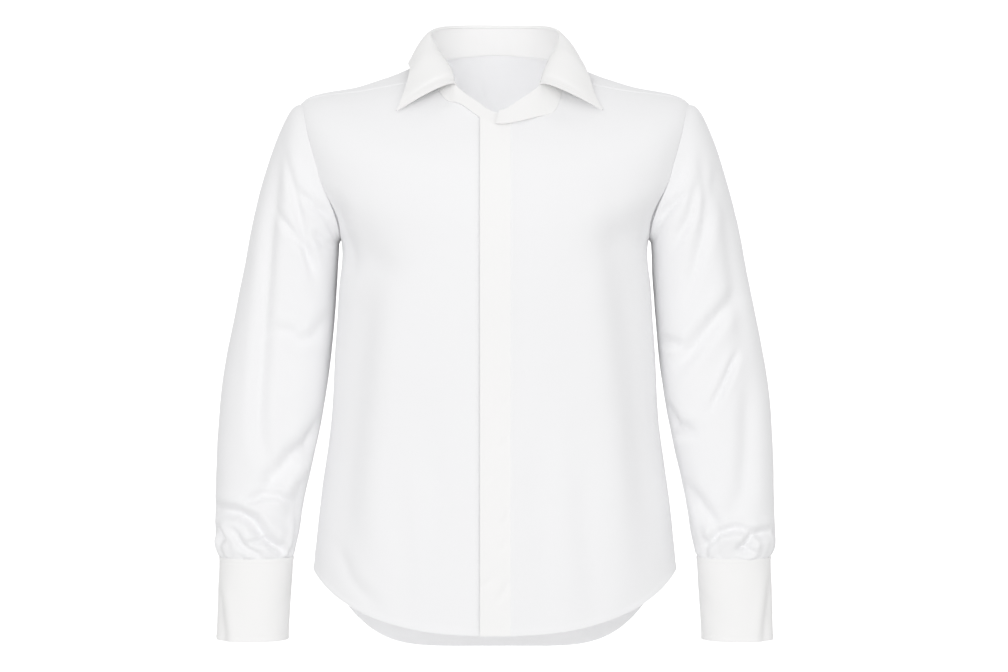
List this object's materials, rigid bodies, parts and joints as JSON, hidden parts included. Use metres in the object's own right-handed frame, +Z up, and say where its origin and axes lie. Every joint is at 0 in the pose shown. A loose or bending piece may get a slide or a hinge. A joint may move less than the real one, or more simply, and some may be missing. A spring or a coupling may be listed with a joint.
{
  "type": "long sleeve dress shirt",
  "caption": "White long sleeve dress shirt with fly front, open spread collar, tall cuffs and shirt-tail hem, in worn form and hollow.",
  "frame": {"origin": "middle of the neck opening, level with the base of the neck at the sides, where the wearer's neck and shoulders hold the shirt up", "axes": "+Z up, out of the collar; -Y is the front; +X is the wearer's left"},
  "size_m": [0.6826, 0.2539, 0.7902],
  "materials": {
    "shirting": "white cotton poplin, plain weave, soft matt with a faint sheen",
    "collar_cloth": "white cotton poplin over interfacing, smooth and flat, edge-stitched",
    "button": "pearly white polyester shirt button, polished"
  },
  "bodies": {
    "root": {"right_front": "shirting", "left_front": "shirting", "fly_placket": "collar_cloth", "back": "shirting", "yoke": "shirting", "collar_stand": "collar_cloth", "collar_leaf": "collar_cloth", "sleeve_left": "shirting", "cuff_left": "collar_cloth", "sleeve_placket_left": "collar_cloth", "cuff_button_left_upper": "button", "cuff_button_left_lower": "button", "sleeve_right": "shirting", "cuff_right": "collar_cloth", "sleeve_placket_right": "collar_cloth", "cuff_button_right_upper": "button", "cuff_button_right_lower": "button", "front_button_1": "button", "front_button_2": "button", "front_button_3": "button", "front_button_4": "button", "front_button_5": "button", "front_button_6": "button"}
  },
  "joints": []
}
